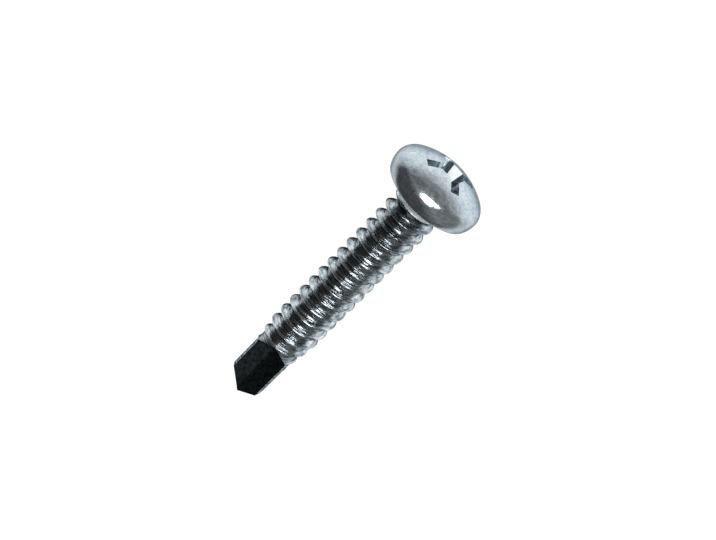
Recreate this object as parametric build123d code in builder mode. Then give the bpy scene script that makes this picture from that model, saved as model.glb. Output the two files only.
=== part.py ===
# Self drilling screw, 6.3 x 38 mm: pan head with a cross recess, plain neck, coarse thread and a
# fluted drill point, all one piece of wire. It is modelled upright along Z with the underside of
# the head at height 0 and the point at the bottom, and then laid on its side as it rests on a table.
import os
from math import asin, atan2, ceil, cos, degrees, hypot, pi, radians, sin, sqrt, tan

from build123d import *

os.makedirs("parts", exist_ok=True)

# ---- driving dimensions, mm and degrees -----------------------------------------------------------
# Head: a domed pan head, widest a little above its flat underside.
head_d = 12.2
head_widest_z = 1.28
head_side_r = 2.9
head_shoulder_r = 1.44
head_dome_r = 9.36

# Shank: the neck under the head, the thread's root and the drill body.
length = 37.2
neck_d = 4.9
neck_flare = 0.4
neck_end_z = -0.9
root_d = 4.7
drill_d = 5.0

# Thread: one right-hand start, a 60 degree ridge with a keen crest.
pitch = 1.813
crest_d = 6.3
flank_angle = 30.0
run_out_full_z = -25.68
full_turns = 12.7
run_in_turns = 1.1
run_out_turns = 3.4

# Drill point: two flutes on opposite sides and two flat flanks that meet in a chisel edge.
flute_length = 9.4
flute_run_out = 1.5
flute_half_angle = 70.0
flute_root_r = 0.8
web = 0.9
chisel_turn = 23.0
chisel_flank_angle = 43.0

# Cross recess: four wings that narrow towards the floor, with slanting faces between them.
recess_d = 6.73
recess_depth = 3.12
recess_turn = 35.0
wing_width = 1.22
wing_floor_width = 0.98
wing_end_angle = 26.5
core_width = 3.22
core_floor_width = 1.95
recess_floor_angle = 70.0

# Amounts by which the ridge is sunk into the shank and cutters run past the surface.
sink = 0.2
overrun = 0.5
path_steps = 8

# ---- dependent sizes ------------------------------------------------------------------------------
head_r = head_d / 2
side_centre_r = head_r - head_side_r
underside_r = side_centre_r + sqrt(head_side_r**2 - head_widest_z**2)
shoulder_centre_r = head_r - head_shoulder_r
dome_reach = head_dome_r - head_shoulder_r
dome_centre_z = head_widest_z - sqrt(dome_reach**2 - shoulder_centre_r**2)
head_top_z = dome_centre_z + head_dome_r
shoulder_end_r = shoulder_centre_r * head_dome_r / dome_reach
shoulder_end_z = dome_centre_z + (head_widest_z - dome_centre_z) * head_dome_r / dome_reach

neck_r = neck_d / 2
root_r = root_d / 2
drill_r = drill_d / 2
tip_z = -length
crest_r = crest_d / 2
ridge_height = crest_r - root_r
ridge_base = (ridge_height + sink) * tan(radians(flank_angle))
thread_low_z = run_out_full_z - run_out_turns * pitch
run_in_full_z = run_out_full_z + full_turns * pitch

flute_top_z = tip_z + flute_length
flute_straight_z = flute_top_z - flute_run_out
flute_reach = drill_d
flute_vertex = web / 2 - flute_root_r * (1 / sin(radians(flute_half_angle)) - 1)
chisel_reach = drill_r + overrun
chisel_rise = 1 / tan(radians(chisel_flank_angle))

recess_rim_z = dome_centre_z + sqrt(head_dome_r**2 - (recess_d / 2) ** 2)
recess_floor_z = head_top_z - recess_depth
recess_lid_z = head_top_z + overrun
wing_slope = tan(radians(wing_end_angle))
lid_share = (recess_lid_z - recess_floor_z) / recess_depth

# ---- thread ridge ---------------------------------------------------------------------------------
# Stretches of the helix, from the point up: turns, the crest's radius at the start and at the end.
# At both ends the whole ridge dips into the shank until it is gone.
stretches = [
    (run_out_turns, drill_r - sink, crest_r),
    (full_turns, crest_r, crest_r),
    (run_in_turns, crest_r, neck_r - sink),
]
ridge_corners = [
    (-ridge_height - sink, -ridge_base),
    (0, 0),
    (-ridge_height - sink, ridge_base),
]


def helix_edge(corner, turn, span, start_r, end_r):
    """The path of one corner of the ridge's section over a span of turns."""
    widening = (end_r - start_r) / span
    turns = [turn + span * step / path_steps for step in range(path_steps + 1)]
    points = []
    tangents = []
    for place in turns:
        around = 2 * pi * place
        outward = Vector(cos(around), sin(around), 0)
        sideways = Vector(-sin(around), cos(around), 0)
        r = start_r + widening * (place - turn) + corner[0]
        points.append(outward * r + Vector(0, 0, thread_low_z + pitch * place + corner[1]))
        tangents.append(outward * widening + sideways * (2 * pi * r) + Vector(0, 0, pitch))
    ends = (tangents[0], tangents[-1])
    return Edge.make_spline(points, tangents=ends, parameters=turns, scale=False)


ridge_faces = []
ridge_turn = 0
for stretch_turns, stretch_start_r, stretch_end_r in stretches:
    pieces = ceil(stretch_turns)
    span = stretch_turns / pieces
    widening = (stretch_end_r - stretch_start_r) / pieces
    for piece in range(pieces):
        start_r = stretch_start_r + widening * piece
        end_r = start_r + widening
        edges = [helix_edge(corner, ridge_turn, span, start_r, end_r) for corner in ridge_corners]
        for near, far in zip(edges, edges[1:] + edges[:1]):
            ridge_faces.append(Face.make_surface_from_curves(near, far))
        if not ridge_turn:
            ridge_faces.append(Face(Wire.make_polygon([edge @ 0 for edge in edges])))
        ridge_turn += span
ridge_faces.append(Face(Wire.make_polygon([edge @ 1 for edge in edges])))
ridge = Solid(Shell(ridge_faces))

# ---- the whole screw, upright ---------------------------------------------------------------------
with BuildPart() as upright:
    # Head, neck, root and drill body are one turned outline; the neck flares a little into the head.
    with BuildSketch(Plane.XZ):
        with BuildLine():
            RadiusArc((0, head_top_z), (shoulder_end_r, shoulder_end_z), head_dome_r)
            RadiusArc((shoulder_end_r, shoulder_end_z), (head_r, head_widest_z), head_shoulder_r)
            RadiusArc((head_r, head_widest_z), (underside_r, 0), head_side_r)
            Polyline(
                (underside_r, 0),
                (neck_r, 0),
                (neck_r, neck_end_z),
                (root_r, run_in_full_z),
                (root_r, run_out_full_z),
                (drill_r, flute_top_z),
                (drill_r, tip_z),
                (0, tip_z),
                (0, head_top_z),
            )
        make_face()
        chamfer(vertices().filter_by_position(Axis.Y, 0, 0).sort_by(Axis.X)[0], neck_flare)
    revolve(axis=Axis.Z)
    add(ridge)

    # Two flutes: a straight wide groove that leaves the body on a slant at its upper end.
    for turn in (0, 180):
        flute_plane = Plane((0, 0, flute_straight_z)).rotated((0, 0, turn))
        flute_slant = Vector(-(drill_r - web / 2), 0, flute_run_out).rotate(Axis.Z, turn)
        for reach, direction in ((flute_slant.length, flute_slant), (flute_length + overrun, (0, 0, -1))):
            with BuildSketch(flute_plane):
                with BuildLine():
                    Polyline(
                        (-flute_reach, -flute_reach * tan(radians(flute_half_angle))),
                        (-flute_vertex, 0),
                        (-flute_reach, flute_reach * tan(radians(flute_half_angle))),
                        close=True,
                    )
                make_face()
                fillet(vertices().sort_by(Axis.X)[-1], flute_root_r)
            extrude(amount=reach, dir=direction, mode=Mode.SUBTRACT)

    # The point: two flat flanks rise from a chisel edge across the axis.
    chisel_along = Vector(1, 0, 0).rotate(Axis.Z, chisel_turn)
    chisel_across = Vector(0, 1, 0).rotate(Axis.Z, chisel_turn)
    with BuildSketch(Plane((0, 0, tip_z), x_dir=chisel_across, z_dir=chisel_along)):
        with BuildLine():
            Polyline(
                (0, 0),
                (chisel_reach, chisel_reach * chisel_rise),
                (chisel_reach, -overrun),
                (-chisel_reach, -overrun),
                (-chisel_reach, chisel_reach * chisel_rise),
                close=True,
            )
        make_face()
    extrude(amount=chisel_reach, both=True, mode=Mode.SUBTRACT)

    # Cross recess: two crossed bars and a square core, each narrowing towards the floor.
    recess_lid = Plane((0, 0, recess_lid_z)).rotated((0, 0, recess_turn))
    recess_floor = Plane((0, 0, recess_floor_z)).rotated((0, 0, recess_turn))
    for turn in (0, 90):
        with BuildSketch(recess_lid.rotated((0, 0, turn))):
            Rectangle(
                recess_d + 2 * (recess_lid_z - recess_rim_z) * wing_slope,
                wing_floor_width + lid_share * (wing_width - wing_floor_width),
            )
        with BuildSketch(recess_floor.rotated((0, 0, turn))):
            Rectangle(recess_d - 2 * (recess_rim_z - recess_floor_z) * wing_slope, wing_floor_width)
        loft(ruled=True, mode=Mode.SUBTRACT)
    core_lid_width = core_floor_width + lid_share * (core_width - core_floor_width)
    with BuildSketch(recess_lid.rotated((0, 0, 45))):
        Rectangle(core_lid_width, core_lid_width)
    with BuildSketch(recess_floor.rotated((0, 0, 45))):
        Rectangle(core_floor_width, core_floor_width)
    loft(ruled=True, mode=Mode.SUBTRACT)
    with BuildSketch(Plane.XZ):
        with BuildLine():
            Polyline(
                (0, recess_floor_z),
                (core_floor_width / 2, recess_floor_z),
                (0, recess_floor_z - core_floor_width / 2 / tan(radians(recess_floor_angle))),
                close=True,
            )
        make_face()
    revolve(axis=Axis.Z, mode=Mode.SUBTRACT)

# ---- laid down ------------------------------------------------------------------------------------
# It rests on the head's rim and on the last full turn of the thread, one flute up and one down.
reach_r = side_centre_r - crest_r
reach_z = head_widest_z - run_out_full_z
rest_tilt = degrees(atan2(reach_r, reach_z) + asin(head_side_r / hypot(reach_r, reach_z)))
laid = upright.part.rotate(Axis.Y, 90 - rest_tilt)
laid_box = laid.bounding_box()

with BuildPart() as screw:
    with Locations((-laid_box.center().X, -laid_box.center().Y, -laid_box.min.Z)):
        add(laid)

screw.part.label = "screw"
export_step(screw.part, "parts/screw.step")
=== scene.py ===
from math import asin, atan2, cos, hypot, pi, radians, sin, sqrt, tan

import bmesh
import bpy
from bmesh.types import BMEdge, BMFace, BMVert
from mathutils import Matrix, Vector


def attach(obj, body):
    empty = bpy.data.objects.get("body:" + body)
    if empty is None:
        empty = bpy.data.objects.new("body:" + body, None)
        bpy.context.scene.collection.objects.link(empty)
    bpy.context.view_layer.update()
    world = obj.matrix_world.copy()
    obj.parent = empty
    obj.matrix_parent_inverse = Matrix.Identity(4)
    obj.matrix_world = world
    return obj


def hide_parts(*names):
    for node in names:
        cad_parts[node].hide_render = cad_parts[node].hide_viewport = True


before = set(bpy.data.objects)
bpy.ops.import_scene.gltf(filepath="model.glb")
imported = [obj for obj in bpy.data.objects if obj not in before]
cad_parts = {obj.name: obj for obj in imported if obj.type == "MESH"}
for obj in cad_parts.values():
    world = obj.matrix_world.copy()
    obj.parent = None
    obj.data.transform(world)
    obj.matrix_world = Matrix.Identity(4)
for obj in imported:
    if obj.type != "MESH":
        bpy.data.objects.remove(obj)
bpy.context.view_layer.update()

# ---- sizes of the screw in millimetres, as in its source -------------------------------------------
# It is made upright with the underside of the head at height 0, and then laid down.
# Head: its largest radius and the height of that, and the radii of its side, shoulder and dome.
HEAD_R, WIDEST_Z, SIDE_R, SHOULDER_R, DOME_R = 6.095, 1.28, 2.9, 1.44, 9.36
# Neck: the round at the head's lower edge, the neck's radius, the round in the corner, and the neck's end.
RIM_ROUND, NECK_R, NECK_ROUND, NECK_END_Z = 0.08, 2.45, 0.6, -0.9
# Shank: the radii of the thread's core and of the drill body, and the length under the head. The length is
# 0.002 shorter than in the source, which keeps the point inside the source's box.
ROOT_R, DRILL_R, LENGTH = 2.35, 2.5, 37.198
# Thread: its flanks lean 30 degrees. It has its full height for FULL_TURNS from FULL_LOW_Z up, fades in
# under the head and fades out over the drill body. SINK is how far its ends run down into the body.
PITCH, CREST_R, FLANK_RISE, SINK = 1.813, 3.15, 1 / tan(radians(30)), 0.2
FULL_LOW_Z, FULL_TURNS, RUN_IN_TURNS, RUN_OUT_TURNS = -25.68, 12.7, 1.1, 3.4
# Its height bends once on the way in: after this share of those turns it is down to this radius.
RUN_IN_BEND, RUN_IN_BEND_R = 0.55, 2.95
# Rolling leaves its crest and root slightly round. Under the head both get rounder by FADE_SOFT a turn,
# and within FADE_TURNS the flanks get less steep by a share of FADE_SLOPE.
CREST_SOFT, ROOT_SOFT, FADE_SOFT, FADE_SLOPE, FADE_TURNS = 0.06, 0.12, 0.2, 0.4, 0.4
# Drill point: the flutes' whole length, the slanting part of it, half the angle between a flute's walls,
# the round between them and the web that is left; how far the chisel edge is turned, and half its angle.
FLUTE_LENGTH, FLUTE_RUN_OUT, FLUTE_ANGLE, FLUTE_ROOT_R, WEB = 9.4, 1.5, radians(70), 0.8, 0.9
CHISEL_TURN, CHISEL_ANGLE = radians(23), radians(43)
# Cross recess: width over its wings, depth, turn and the lean of the wings' ends; the widths of a wing and
# of the core at the top and at the floor, and half the angle of the cone in the floor.
RECESS_D, RECESS_DEPTH, RECESS_TURN, WING_SLOPE = 6.73, 3.12, radians(35), tan(radians(26.5))
WING_W, WING_FLOOR_W, CORE_W, CORE_FLOOR_W, FLOOR_ANGLE = 1.22, 0.98, 3.22, 1.95, radians(70)

side_centre_r, shoulder_centre_r, dome_reach = HEAD_R - SIDE_R, HEAD_R - SHOULDER_R, DOME_R - SHOULDER_R
dome_centre_z = WIDEST_Z - sqrt(dome_reach ** 2 - shoulder_centre_r ** 2)
head_top_z = dome_centre_z + DOME_R
thread_low_z = FULL_LOW_Z - RUN_OUT_TURNS * PITCH
flute_top_z = FLUTE_LENGTH - LENGTH
full_top_z = FULL_LOW_Z + FULL_TURNS * PITCH
stub_low_z = -LENGTH - 1  # the body is made this long, and the chisel edge is cut from it

# How it lies: on the head's rim and on the last full turn of the thread, with its head towards +X. The
# middle of the head's underside is at UNDER_HEAD, in metres.
MM_PER_M = 1000
UNDER_HEAD = Vector((16.38947, 0, 5.94074)) / MM_PER_M
reach_r, reach_z = side_centre_r - CREST_R, WIDEST_Z - FULL_LOW_Z
TILT = atan2(reach_r, reach_z) + asin(SIDE_R / hypot(reach_r, reach_z))
along = Vector((cos(TILT), 0, sin(TILT)))
above = Vector((-sin(TILT), 0, cos(TILT)))
lay_down = (Matrix.Translation(UNDER_HEAD) @ Matrix.Rotation(pi / 2 - TILT, 4, "Y")
            @ Matrix.Scale(1 / MM_PER_M, 4))


# ---- materials -------------------------------------------------------------------------------------
def linear(hex_colour):
    """An sRGB hex colour as linear red, green, blue and alpha."""
    parts = [int(hex_colour[i:i + 2], 16) / 255 for i in (0, 2, 4)]
    return [c / 12.92 if c <= 0.04045 else ((c + 0.055) / 1.055) ** 2.4 for c in parts] + [1.0]


def add_node(tree, kind, settings=None, inputs=None):
    """Adds a node with its settings and its inputs, each a value or the socket that feeds it."""
    node = tree.nodes.new(kind)
    for name, value in (settings or {}).items():
        setattr(node, name, value)
    for name, value in (inputs or {}).items():
        if isinstance(value, bpy.types.NodeSocket):
            tree.links.new(value, node.inputs[name])
        else:
            node.inputs[name].default_value = value
    return node


def new_material(name):
    """An empty material and its node tree."""
    made = bpy.data.materials.new(name)
    made.use_nodes = True
    made.node_tree.nodes.clear()
    return made, made.node_tree


def finish_material(tree, inputs):
    """The material's one shader, a metal unless its inputs say otherwise."""
    shader = add_node(tree, "ShaderNodeBsdfPrincipled", inputs={"Metallic": 1.0, **inputs})
    add_node(tree, "ShaderNodeOutputMaterial", inputs={"Surface": shader.outputs["BSDF"]})


def coordinates(tree, kind):
    """A point's place or direction, of one kind."""
    return add_node(tree, "ShaderNodeTexCoord").outputs[kind]


def screw_place(tree):
    """The point in the screw's own upright frame, in millimetres."""
    centred = add_node(tree, "ShaderNodeVectorMath", {"operation": "SUBTRACT"},
                       {0: coordinates(tree, "Object"), 1: UNDER_HEAD})
    turned = add_node(tree, "ShaderNodeMapping", {"vector_type": "POINT"},
                      {"Vector": centred.outputs["Vector"], "Rotation": (0, TILT - pi / 2, 0),
                       "Scale": (MM_PER_M, MM_PER_M, MM_PER_M)})
    return turned.outputs["Vector"]


def apart(tree, place):
    """The outputs X, Y and Z of a point."""
    return add_node(tree, "ShaderNodeSeparateXYZ", inputs={"Vector": place}).outputs


def maths(tree, operation, first, second=0.0):
    """One sum on two numbers or sockets."""
    return add_node(tree, "ShaderNodeMath", {"operation": operation}, {0: first, 1: second}).outputs["Value"]


NOISE_LOW, NOISE_HIGH = 0.3, 0.7  # nearly all of a noise's values are between these


def clouds(tree, place, scale, detail, low=0.0, high=1.0):
    """Soft noise, spread over a range of values."""
    noise = add_node(tree, "ShaderNodeTexNoise", inputs={"Vector": place, "Scale": scale, "Detail": detail})
    spread = add_node(tree, "ShaderNodeMapRange", inputs={
        "Value": noise.outputs["Fac"], "From Min": NOISE_LOW, "From Max": NOISE_HIGH,
        "To Min": low, "To Max": high})
    return spread.outputs["Result"]


def shades(tree, share, stops):
    """A colour between hex colours at their places, by a share from 0 to 1."""
    ramp = add_node(tree, "ShaderNodeValToRGB", inputs={"Fac": share})
    while len(ramp.color_ramp.elements) < len(stops):
        ramp.color_ramp.elements.new(0.5)
    for element, (place, colour) in zip(ramp.color_ramp.elements, stops.items()):
        element.position, element.color = place, linear(colour)
    return ramp.outputs["Color"]


def blended(tree, blend, share, first, second):
    """Two colours mixed or multiplied."""
    return add_node(tree, "ShaderNodeMix", {"data_type": "RGBA", "blend_type": blend},
                    {"Factor": share, "A": first, "B": second}).outputs["Result"]


def bumps(tree, height, depth):
    """Normals for relief that is so many millimetres deep."""
    return add_node(tree, "ShaderNodeBump", inputs={
        "Strength": 1.0, "Distance": depth / MM_PER_M, "Height": height}).outputs["Normal"]


def cloudy_finish(name, stops, tone, roughness, inputs):
    """A material whose tone and roughness each wander with their own soft noise."""
    made, tree = new_material(name)
    place = screw_place(tree)
    finish_material(tree, {"Base Color": shades(tree, clouds(tree, place, **tone), stops),
                           "Roughness": clouds(tree, place, **roughness), **inputs})
    return made


# Patterns are in the screw's own millimetres: a scale of 2 gives marks about half a millimetre wide.
# A clean metal turns into a white mirror where it is seen edge on. Zinc under its chromate film doesn't:
# these specular tints say how little it mirrors there, and it is least on the thread and in the flutes.
HEAD_EDGE, RECESS_EDGE, NECK_EDGE, DARK_EDGE = "707478", "747474", "505458", "303438"

# Satin zinc on the forged head. The head is struck cold from wire, tumbled with other screws, plated with
# some 8 microns of zinc and dipped in a clear chromate. Tumbling leaves it satin: it mirrors softly, and a
# lamp in it keeps its shape but not a crisp edge. The chromate film is uneven, which gives faint bluish,
# greenish and grey patches a bit over 1 mm wide. The zinc's crystals are under 0.05 mm; they are drawn as
# specks of 0.3 mm, as fine as a view of the whole screw can hold. The thin coat is that film.
satin, tree = new_material("satin_zinc_head")
place = screw_place(tree)
patches = shades(tree, clouds(tree, place, scale=0.75, detail=3),
                 {0.0: "afbfcb", 0.35: "c1c7cf", 0.65: "b8c8cb", 1.0: "cbd6dc"})
specks = shades(tree, clouds(tree, place, scale=3.5, detail=4), {0.0: "d4d8dc", 0.5: "f2f2f2", 1.0: "ffffff"})
finish_material(tree, {
    "Metallic": 0.95, "Coat Weight": 0.15, "Coat Roughness": 0.5, "Coat IOR": 1.5,
    "Specular Tint": linear(HEAD_EDGE),
    "Base Color": blended(tree, "MULTIPLY", 1.0, patches, specks),
    "Roughness": clouds(tree, place, scale=1.5, detail=4, low=0.1, high=0.2),
    "Normal": bumps(tree, clouds(tree, place, scale=0.9, detail=3), depth=0.02)})

# Bright zinc on the rolled thread. Flat dies press the thread out of the wire and slide along it, so the
# metal is smoother than the head and mirrors sharply. The slide leaves fine lines along the helix, with
# less zinc in them: they look darker and break each reflection into short bright dashes. The real lines
# are about 0.02 mm apart; they are drawn 0.2 mm apart, because finer ones blur into blobs in a view.
# The minus signs put the seam of the angle round the axis on the side that lies down.
STREAKS_PER_MM, STREAKS_PER_RADIAN, STREAK_DEPTH = 5.5, 2.0, 0.048
bright, tree = new_material("bright_zinc_thread")
at = apart(tree, screw_place(tree))
turned_by = maths(tree, "ARCTAN2", maths(tree, "MULTIPLY", at["Y"], -1), maths(tree, "MULTIPLY", at["X"], -1))
across = maths(tree, "SUBTRACT", at["Z"], maths(tree, "MULTIPLY", turned_by, PITCH / (2 * pi)))
streaks = add_node(tree, "ShaderNodeCombineXYZ", inputs={
    "X": maths(tree, "MULTIPLY", across, STREAKS_PER_MM),
    "Y": maths(tree, "MULTIPLY", turned_by, STREAKS_PER_RADIAN)})
grain = clouds(tree, streaks.outputs["Vector"], scale=1.0, detail=3)
finish_material(tree, {
    "Roughness": 0.17, "Specular Tint": linear(DARK_EDGE),
    "Base Color": shades(tree, grain, {0.0: "545e63", 0.5: "9ca5aa", 1.0: "c6ced2"}),
    "Normal": bumps(tree, grain, STREAK_DEPTH)})

# The flutes and the point. Dies pinch the flutes and the tip into the wire. Their nearly black tone is
# painted shade: it stands in for the shade and the dim reflections in the grooves and on the tip. The
# finish is half glossy and mottled over about 0.4 mm.
dark = cloudy_finish("flute_steel_painted_shade", {0.0: "282e31", 1.0: "5c6569"},
                     tone={"scale": 2.5, "detail": 5},
                     roughness={"scale": 3.0, "detail": 2, "low": 0.25, "high": 0.4},
                     inputs={"Specular Tint": linear(DARK_EDGE)})

# The walls of the square core in the recess. Their finish is pale, glossy and mostly not metallic, so they
# look white under the lamps. This is a painted highlight: it stands in for the bright reflections in these
# walls and for the light that bounces from wall to wall in there. Its tone wanders over 0.7 mm.
recess_painted_highlight = cloudy_finish("recess_zinc_painted_highlight", {0.0: "e8eff3", 1.0: "f7fcff"},
                        tone={"scale": 1.5, "detail": 3},
                        roughness={"scale": 2.5, "detail": 2, "low": 0.12, "high": 0.22},
                        inputs={"Metallic": 0.2, "Specular Tint": linear(RECESS_EDGE)})

# The corner under the head. Its finish is pale, only half metallic and fairly rough, so it spreads the
# lamps' light and looks white beside the thread. This is a painted highlight for the bright crescent on this
# corner. Its tone is uneven over about 0.5 mm.
neck_painted_highlight = cloudy_finish("neck_zinc_painted_highlight", {0.0: "d2d9dd", 1.0: "eff3f5"},
                     tone={"scale": 2.0, "detail": 3},
                     roughness={"scale": 3.0, "detail": 2, "low": 0.32, "high": 0.45},
                     inputs={"Metallic": 0.55, "Specular Tint": linear(NECK_EDGE)})

FINISHES = (satin, bright, dark, recess_painted_highlight, neck_painted_highlight)
HEAD_SLOT, THREAD_SLOT, FLUTE_SLOT, RECESS_SLOT, NECK_SLOT = range(len(FINISHES))

# ---- the screw's mesh ------------------------------------------------------------------------------
# How finely it is divided: round the screw, along one pitch, and round the curves.
AROUND, ACROSS, MESH_TURNS, TURNS_BELOW = 80, 32, 20, 1.5
DOME_STEPS, SHOULDER_STEPS, SIDE_STEPS, NECK_STEPS, RIM_STEPS = 28, 14, 12, 10, 3
FLUTE_ROOT_STEPS, CONE_STEPS = 12, 32
# The wound shell is kept between the first two heights. The head's mesh ends a little above it, and the
# corner's finish, with its painted highlight, reaches down to NECK_HIGHLIGHT_LOW_Z.
SHANK_TOP_Z, SHANK_LOW_Z, HEAD_LOW_Z, NECK_HIGHLIGHT_LOW_Z = -0.85, -31.9, -0.8, -1.9
# Vertices closer than the first two are merged: where turns meet, and in the finished body. The other two
# say how near a vertex has to be to a height or to a plane to count as on it.
TURN_WELD, BODY_WELD, LEVEL_NEAR, PLANE_NEAR = 0.002, 0.0005, 1e-4, 1e-6
# The faces of the point are those whose normals have at least this much of the axis in them.
POINT_NORMAL = 0.5
# How far the cutters of the recess stand above the head, and how far the cone goes into the core's cutter.
LID_ABOVE, CONE_OVERLAP = 0.5, 0.002
SHARP_EDGE = radians(32)

full_to = RUN_OUT_TURNS + FULL_TURNS
CORE_PLACES = [(stub_low_z, DRILL_R), (flute_top_z, DRILL_R), (FULL_LOW_Z, ROOT_R), (full_top_z, ROOT_R),
               (NECK_END_Z, NECK_R), (0, NECK_R)]
CREST_PLACES = [(0, DRILL_R - SINK), (RUN_OUT_TURNS, CREST_R), (full_to, CREST_R),
                (full_to + RUN_IN_BEND * RUN_IN_TURNS, RUN_IN_BEND_R),
                (full_to + RUN_IN_TURNS, NECK_R - SINK)]


def only(kind, parts):
    """The vertices, edges or faces among the parts that an operator gives back."""
    return [part for part in parts if isinstance(part, kind)]


def all_of(bm):
    """Every vertex, edge and face."""
    return bm.verts[:] + bm.edges[:] + bm.faces[:]


def arc(bm, start, centre_r, centre_z, angle, steps):
    """Carries an outline on from its last vertex, round a centre; returns the new last vertex."""
    made = bmesh.ops.spin(bm, geom=[start], cent=(centre_r, 0, centre_z), axis=(0, 1, 0),
                          angle=angle, steps=steps)
    return only(BMVert, made["geom_last"])[0]


def line(bm, start, step_r, step_z):
    """Carries an outline on from its last vertex in a straight line; returns the new last vertex."""
    vert = bmesh.ops.extrude_vert_indiv(bm, verts=[start])["verts"][0]
    vert.co += Vector((step_r, 0, step_z))
    return vert


def round_corner(bm, vert, offset, segments):
    """Rounds one corner of an outline."""
    bmesh.ops.bevel(bm, geom=[vert], offset=offset, offset_type="OFFSET", segments=segments,
                    profile=0.5, affect="VERTICES", material=-1)


def smooth_larger(a, b, soft):
    """The larger of two lengths, with the step between them rounded off."""
    return (a + b + sqrt((a - b) ** 2 + soft ** 2)) / 2


def between(x, places):
    """The value at x on a line through places, which are (x, value) from low to high."""
    for (x0, y0), (x1, y1) in zip(places, places[1:]):
        if x < x1:
            break
    return y0 + (y1 - y0) * (x - x0) / (x1 - x0)


def shank_r(around, z):
    """The shank's radius: its core, and the rounded ridge of the thread where it passes."""
    turn = around / (2 * pi)
    turn += round((z - thread_low_z) / PITCH - turn)  # of all the ridge's turns here, the nearest one
    off = z - thread_low_z - turn * PITCH
    fading = max(0, turn - full_to)
    crest_soft, root_soft = CREST_SOFT + FADE_SOFT * fading, ROOT_SOFT + FADE_SOFT / 2 * fading
    rise = FLANK_RISE * (1 - FADE_SLOPE * min(1, fading / FADE_TURNS))
    ridge = between(turn, CREST_PLACES) + crest_soft - sqrt((off * rise) ** 2 + crest_soft ** 2)
    return smooth_larger(between(z, CORE_PLACES), ridge, root_soft)


def turned_head(bm):
    """The head and the top of the neck: one outline, turned."""
    dome_angle = atan2(shoulder_centre_r, WIDEST_Z - dome_centre_z)
    side_angle = asin(WIDEST_Z / SIDE_R)
    last = bm.verts.new((0, 0, head_top_z))
    last = arc(bm, last, 0, dome_centre_z, dome_angle, DOME_STEPS)
    last = arc(bm, last, shoulder_centre_r, WIDEST_Z, pi / 2 - dome_angle, SHOULDER_STEPS)
    rim = arc(bm, last, side_centre_r, WIDEST_Z, side_angle, SIDE_STEPS)
    inside = line(bm, rim, NECK_R - rim.co.x, 0)
    line(bm, inside, 0, HEAD_LOW_Z)
    round_corner(bm, inside, NECK_ROUND, NECK_STEPS)
    round_corner(bm, rim, RIM_ROUND * tan((pi / 2 - side_angle) / 2), RIM_STEPS)
    bmesh.ops.spin(bm, geom=all_of(bm), cent=(0, 0, 0), axis=(0, 0, 1), angle=2 * pi,
                   steps=AROUND, use_merge=True)


def wound_shell(bm):
    """One pitch of the shank's outline is wound up by a turn of helix, and the turns are stacked."""
    last = bm.verts.new((1, 0, thread_low_z - TURNS_BELOW * PITCH))
    for _ in range(ACROSS):
        last = line(bm, last, 0, PITCH / ACROSS)
    bmesh.ops.spin(bm, geom=all_of(bm), cent=(0, 0, 0), axis=(0, 0, 1),
                   dvec=(0, 0, PITCH / AROUND), angle=2 * pi, steps=AROUND)
    one_turn = all_of(bm)
    for turn in range(1, MESH_TURNS):
        made = bmesh.ops.duplicate(bm, geom=one_turn)["geom"]
        bmesh.ops.translate(bm, verts=only(BMVert, made), vec=(0, 0, turn * PITCH))
    bmesh.ops.remove_doubles(bm, verts=bm.verts[:], dist=TURN_WELD)


def open_ring(bm, z):
    """The open edges at one height."""
    return [edge for edge in bm.edges if edge.is_boundary
            and all(abs(vert.co.z - z) < LEVEL_NEAR for vert in edge.verts)]


def cut_off(bm, z, direction):
    """Cuts along a plane through a height on the axis and drops the side that the direction points to.
    Returns the edges of the cut."""
    made = bmesh.ops.bisect_plane(bm, geom=all_of(bm), dist=PLANE_NEAR, plane_co=(0, 0, z),
                                  plane_no=direction, clear_outer=True)
    return only(BMEdge, made["geom_cut"])


def threaded_shank(bm):
    """The thread and the drill body, down to the chisel edge."""
    wound_shell(bm)
    cut_off(bm, SHANK_TOP_Z, (0, 0, 1))
    cut_off(bm, SHANK_LOW_Z, (0, 0, -1))
    for vert in bm.verts:
        r = shank_r(atan2(vert.co.y, vert.co.x), vert.co.z) / hypot(vert.co.x, vert.co.y)
        vert.co.x, vert.co.y = vert.co.x * r, vert.co.y * r
    made = bmesh.ops.extrude_edge_only(bm, edges=open_ring(bm, SHANK_LOW_Z))["geom"]
    bmesh.ops.translate(bm, verts=only(BMVert, made), vec=(0, 0, stub_low_z - SHANK_LOW_Z))
    bmesh.ops.holes_fill(bm, edges=open_ring(bm, stub_low_z), sides=0)
    for side in (1, -1):
        sideways = Vector((-sin(CHISEL_TURN), cos(CHISEL_TURN), 0)) * side
        edges = cut_off(bm, -LENGTH, sideways / tan(CHISEL_ANGLE) - Vector((0, 0, 1)))
        bmesh.ops.holes_fill(bm, edges=edges, sides=0)
    bm.normal_update()
    for face in bm.faces:
        z = face.calc_center_median().z
        on_point = z < SHANK_LOW_Z and abs(face.normal.z) > POINT_NORMAL
        # The point takes the finish with the painted shade, and the corner under the head the one with the
        # painted highlight.
        face.material_index = FLUTE_SLOT if on_point else NECK_SLOT if z > NECK_HIGHLIGHT_LOW_Z else THREAD_SLOT


def screw_body():
    """The whole screw without its recess and flutes."""
    bm = bmesh.new()
    threaded_shank(bm)
    head = bmesh.new()
    turned_head(head)
    mesh = bpy.data.meshes.new("head")
    head.to_mesh(mesh)
    head.free()
    bm.from_mesh(mesh)
    made = bmesh.ops.bridge_loops(bm, edges=open_ring(bm, SHANK_TOP_Z) + open_ring(bm, HEAD_LOW_Z))
    for face in made["faces"]:
        face.material_index = NECK_SLOT
    bmesh.ops.remove_doubles(bm, verts=bm.verts[:], dist=BODY_WELD)
    bmesh.ops.recalc_face_normals(bm, faces=bm.faces[:])
    return bm


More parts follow.
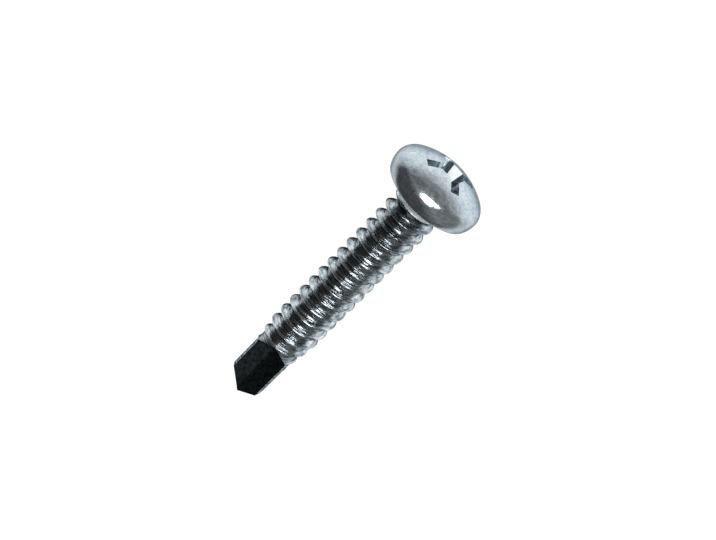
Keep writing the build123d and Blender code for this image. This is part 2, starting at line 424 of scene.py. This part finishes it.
def flute_cutters():
    """Two grooves on opposite sides, straight below and slanting out of the body above."""
    bm = bmesh.new()
    reach, z = 2 * DRILL_R, flute_top_z - FLUTE_RUN_OUT - FLUTE_LENGTH
    vertex_r = WEB / 2 - FLUTE_ROOT_R * (1 / sin(FLUTE_ANGLE) - 1)
    corners = [bm.verts.new(place) for place in (
        (-reach, -reach * tan(FLUTE_ANGLE), z), (-vertex_r, 0, z), (-reach, reach * tan(FLUTE_ANGLE), z))]
    bmesh.ops.contextual_create(bm, geom=corners)
    round_corner(bm, corners[1], FLUTE_ROOT_R / tan(FLUTE_ANGLE), FLUTE_ROOT_STEPS)
    section = bm.faces[:]
    for step in ((0, 0, FLUTE_LENGTH), (-(DRILL_R - WEB / 2), 0, FLUTE_RUN_OUT)):
        made = bmesh.ops.extrude_face_region(bm, geom=section)["geom"]
        if step[0]:
            bmesh.ops.delete(bm, geom=section, context="FACES_ONLY")
        section = only(BMFace, made)
        bmesh.ops.translate(bm, verts=only(BMVert, made), vec=step)
    bmesh.ops.recalc_face_normals(bm, faces=bm.faces[:])
    for face in bm.faces:
        # The flutes take the finish with the painted shade.
        face.material_index = FLUTE_SLOT
    other = bmesh.ops.duplicate(bm, geom=all_of(bm))["geom"]
    bmesh.ops.rotate(bm, verts=only(BMVert, other), cent=(0, 0, 0), matrix=Matrix.Rotation(pi, 3, "Z"))
    return bm


def narrowing_block(low_z, top_z, low_size, top_size, turn, slot):
    """A block between two heights whose ends have different lengths and widths."""
    bm = bmesh.new()
    bmesh.ops.create_cube(bm, size=1)
    for vert in bm.verts:
        length, width = top_size if vert.co.z > 0 else low_size
        vert.co = Vector((vert.co.x * length, vert.co.y * width, top_z if vert.co.z > 0 else low_z))
    bmesh.ops.rotate(bm, verts=bm.verts[:], cent=(0, 0, 0), matrix=Matrix.Rotation(turn, 3, "Z"))
    for face in bm.faces:
        face.material_index = slot
    return bm


def recess_cutters():
    """Two crossed bars, a square core and a shallow cone in its floor."""
    floor_z, lid_z = head_top_z - RECESS_DEPTH, head_top_z + LID_ABOVE
    rim_z = dome_centre_z + sqrt(DOME_R ** 2 - (RECESS_D / 2) ** 2)
    share = (lid_z - floor_z) / RECESS_DEPTH
    wing_low = (RECESS_D - 2 * (rim_z - floor_z) * WING_SLOPE, WING_FLOOR_W)
    wing_top = (RECESS_D + 2 * (lid_z - rim_z) * WING_SLOPE, WING_FLOOR_W + share * (WING_W - WING_FLOOR_W))
    core_low = (CORE_FLOOR_W, CORE_FLOOR_W)
    core_top = (CORE_FLOOR_W + share * (CORE_W - CORE_FLOOR_W),) * 2
    cone = bmesh.new()
    depth = CORE_FLOOR_W / 2 / tan(FLOOR_ANGLE)
    bmesh.ops.create_cone(cone, cap_ends=True, segments=CONE_STEPS, radius1=0, radius2=CORE_FLOOR_W / 2,
                          depth=depth)
    bmesh.ops.translate(cone, verts=cone.verts[:], vec=(0, 0, floor_z - depth / 2 + CONE_OVERLAP))
    blocks = ((wing_low, wing_top, RECESS_TURN, HEAD_SLOT),
              (wing_low, wing_top, RECESS_TURN + pi / 2, HEAD_SLOT),
              # The core's walls take the finish with the painted highlight.
              (core_low, core_top, RECESS_TURN + pi / 4, RECESS_SLOT))
    return [*(narrowing_block(floor_z, lid_z, *block) for block in blocks), cone]


def linked(name, data):
    """A new object of the scene."""
    made = bpy.data.objects.new(name, data)
    bpy.context.scene.collection.objects.link(made)
    return made


def as_object(bm, name):
    """The bmesh as an object with the screw's finishes."""
    mesh = bpy.data.meshes.new(name)
    bm.to_mesh(mesh)
    bm.free()
    for material in FINISHES:
        mesh.materials.append(material)
    return linked(name, mesh)


body = as_object(screw_body(), "screw_body")
cutters = [as_object(bm, "cutter") for bm in [flute_cutters(), *recess_cutters()]]
for cutter in cutters:
    cut = body.modifiers.new("cut", "BOOLEAN")
    cut.object, cut.operation, cut.solver = cutter, "DIFFERENCE", "EXACT"
bpy.context.view_layer.update()
screw_mesh = bpy.data.meshes.new_from_object(body.evaluated_get(bpy.context.evaluated_depsgraph_get()))
for done in [body, *cutters]:
    bpy.data.objects.remove(done)
screw_mesh.transform(lay_down)
screw_mesh.shade_smooth()
screw_mesh.set_sharp_from_angle(angle=SHARP_EDGE)
screw = linked("zinc_plated_screw", screw_mesh)
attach(screw, "root")
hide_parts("screw")

# ---- camera ----------------------------------------------------------------------------------------
# It looks down on the lying screw, 61.1 degrees from the way the head points, and is rolled so that the
# screw runs from the lower left to the upper right. UNDER_HEAD_AT is where the middle of the head's
# underside comes in the main view, in pixels from its top left corner.
VIEW_ANGLE, DISTANCE = radians(61.1), 0.216
WIDE, TALL, PIXELS_PER_MM, UNDER_HEAD_AT = 716, 540, 8.79, (429.7, 194.8)
SENSOR_MM, CLIP_NEAR, CLIP_FAR = 36, 0.05, 20

back = along * cos(VIEW_ANGLE) + above * sin(VIEW_ANGLE)
head_up = along * sin(VIEW_ANGLE) - above * cos(VIEW_ANGLE)
right = (head_up - Vector((0, 1, 0))).normalized()
up = (head_up + Vector((0, 1, 0))).normalized()
middle = (UNDER_HEAD - right * (UNDER_HEAD_AT[0] - WIDE / 2) / PIXELS_PER_MM / MM_PER_M
          - up * (TALL / 2 - UNDER_HEAD_AT[1]) / PIXELS_PER_MM / MM_PER_M)
lens = bpy.data.cameras.new("camera")
lens.sensor_width = SENSOR_MM
lens.lens = SENSOR_MM * DISTANCE * MM_PER_M * PIXELS_PER_MM / WIDE
lens.clip_start, lens.clip_end = CLIP_NEAR, CLIP_FAR
camera = linked("camera", lens)
camera.matrix_world = Matrix.Translation(middle + back * DISTANCE) @ Matrix(
    (right, up, back)).transposed().to_4x4()
bpy.context.scene.camera = camera


# ---- floor and light -------------------------------------------------------------------------------
def to_camera(tree):
    """1 where the camera looks straight at it, and 0 in a reflection or as light."""
    return add_node(tree, "ShaderNodeLightPath").outputs["Is Camera Ray"]


# The floor is even and white to the eye. In the metal, and in the light it sheds on the screw, it glows
# though it is no lamp. That glow is a painted pool of light beside the screw, which falls off to FAR_LIGHT,
# half way at a distance of POOL_R from a line of twice POOL_HALF_LENGTH.
POOL_R, POOL_HALF_LENGTH, POOL_LIGHT, FAR_LIGHT = 0.028, 0.018, 1.55, 0.1
# A painted shadow: in a strip under the screw, little of that glow is left. The strip's middle, half its
# width, the width of its soft edge, the share of the light that is left in it, and how far past that line it
# ends.
STRIP_Y, STRIP_HALF, STRIP_EDGE, STRIP_LIGHT, PAST_END = 0.001, 0.0025, 0.001, 0.03, 0.001
FLOOR_HALF, FLOOR_BASE_GREY, WHITE = 1.5, (0.1, 0.1, 0.1, 1.0), (1.0, 1.0, 1.0, 1.0)

floor_painted_light, tree = new_material("floor_painted_pool_and_shadow")
at = apart(tree, coordinates(tree, "Object"))
# The painted pool of light: brightest along a line beside the screw, falling off away from it.
beyond = maths(tree, "MAXIMUM", maths(tree, "SUBTRACT", maths(tree, "ABSOLUTE", at["X"]), POOL_HALF_LENGTH))
away = maths(tree, "ADD", maths(tree, "POWER", beyond, 2.0), maths(tree, "POWER", at["Y"], 2.0))
falloff = maths(tree, "DIVIDE", POOL_R ** 2, maths(tree, "ADD", away, POOL_R ** 2))
# The painted shadow: a soft-edged strip under the screw, which ends past the pool's line.
sideways = maths(tree, "ABSOLUTE", maths(tree, "SUBTRACT", at["Y"], STRIP_Y))
outside = maths(tree, "SUBTRACT", sideways, STRIP_HALF - STRIP_EDGE / 2)
open_share = maths(tree, "MINIMUM", maths(tree, "MULTIPLY", outside, 1 / STRIP_EDGE), 1.0)
open_floor = maths(tree, "MAXIMUM", open_share, STRIP_LIGHT)
past_end = maths(tree, "GREATER_THAN", beyond, PAST_END)
pool = maths(tree, "ADD", maths(tree, "MULTIPLY", falloff, POOL_LIGHT), FAR_LIGHT)
mirrored = maths(tree, "MULTIPLY", pool, maths(tree, "MAXIMUM", open_floor, past_end))
# The camera sees plain white. Reflections and the light the floor sheds carry the painted pool and shadow.
seen = to_camera(tree)
glow = maths(tree, "ADD", seen, maths(tree, "MULTIPLY", maths(tree, "SUBTRACT", 1.0, seen), mirrored))
finish_material(tree, {"Metallic": 0.0, "Base Color": FLOOR_BASE_GREY, "Roughness": 1.0, "Specular IOR Level": 0.0,
                       "Emission Color": WHITE, "Emission Strength": glow})
floor_mesh = bpy.data.meshes.new("floor")
bm = bmesh.new()
bmesh.ops.create_grid(bm, x_segments=1, y_segments=1, size=FLOOR_HALF)
bm.to_mesh(floor_mesh)
bm.free()
floor_mesh.materials.append(floor_painted_light)
floor = linked("floor", floor_mesh)


def softbox(name, azimuth, elevation, distance, wide, tall, radiance, in_reflections=True):
    """A rectangular soft light that faces the screw from a direction: degrees round from the head's side
    towards the back, and degrees up. It is seen in the metal unless it is a fill light."""
    a, e = radians(azimuth), radians(elevation)
    light = bpy.data.lights.new(name, "AREA")
    light.shape, light.size, light.size_y = "RECTANGLE", wide, tall
    light.energy = radiance * pi * wide * tall
    lamp = linked(name, light)
    outward = Vector((cos(a) * cos(e), sin(a) * cos(e), sin(e)))
    lamp.location = outward * distance
    lamp.rotation_euler = outward.to_track_quat("Z", "Y").to_euler()
    lamp.visible_glossy = in_reflections


softbox("key_light", azimuth=-8, elevation=48, distance=0.8, wide=0.44, tall=0.8, radiance=5.5)
softbox("fill_light", azimuth=0, elevation=89, distance=1.2, wide=1.3, tall=1.3, radiance=2.2,
        in_reflections=False)

# The room is white behind the table. In the metal it is dim, with soft patches that are a little pink or
# green, as a room with things in it gives. It is darker behind the point and to the left: its light goes
# from DARK_LIGHT to BRIGHT_LIGHT by how far a direction faces BRIGHT_SIDE.
BRIGHT_SIDE, DARK_FROM, BRIGHT_FROM, DARK_LIGHT, BRIGHT_LIGHT = (0.7, -0.9, 0.12), -0.4, 0.3, 0.05, 0.27
world = bpy.data.worlds.new("studio")
bpy.context.scene.world = world
world.use_nodes = True
sky = world.node_tree
way = coordinates(sky, "Generated")
towards = add_node(sky, "ShaderNodeVectorMath", {"operation": "DOT_PRODUCT"}, {0: way, 1: BRIGHT_SIDE})
wall = add_node(sky, "ShaderNodeMapRange", {"interpolation_type": "SMOOTHSTEP"}, {
    "Value": towards.outputs["Value"], "From Min": DARK_FROM, "From Max": BRIGHT_FROM,
    "To Min": DARK_LIGHT, "To Max": BRIGHT_LIGHT})
patchy = maths(sky, "MULTIPLY", wall.outputs["Result"],
               clouds(sky, way, scale=5.0, detail=3, low=0.5, high=1.9))
tint = shades(sky, clouds(sky, way, scale=3.5, detail=2), {0.0: "ead2d8", 0.5: "dcdcdc", 1.0: "c8dfcf"})
seen = to_camera(sky)
background = sky.nodes["Background"]
sky.links.new(blended(sky, "MIX", seen, tint, WHITE), background.inputs["Color"])
sky.links.new(maths(sky, "MAXIMUM", seen, patchy), background.inputs["Strength"])
bpy.context.scene.view_settings.view_transform = "Standard"
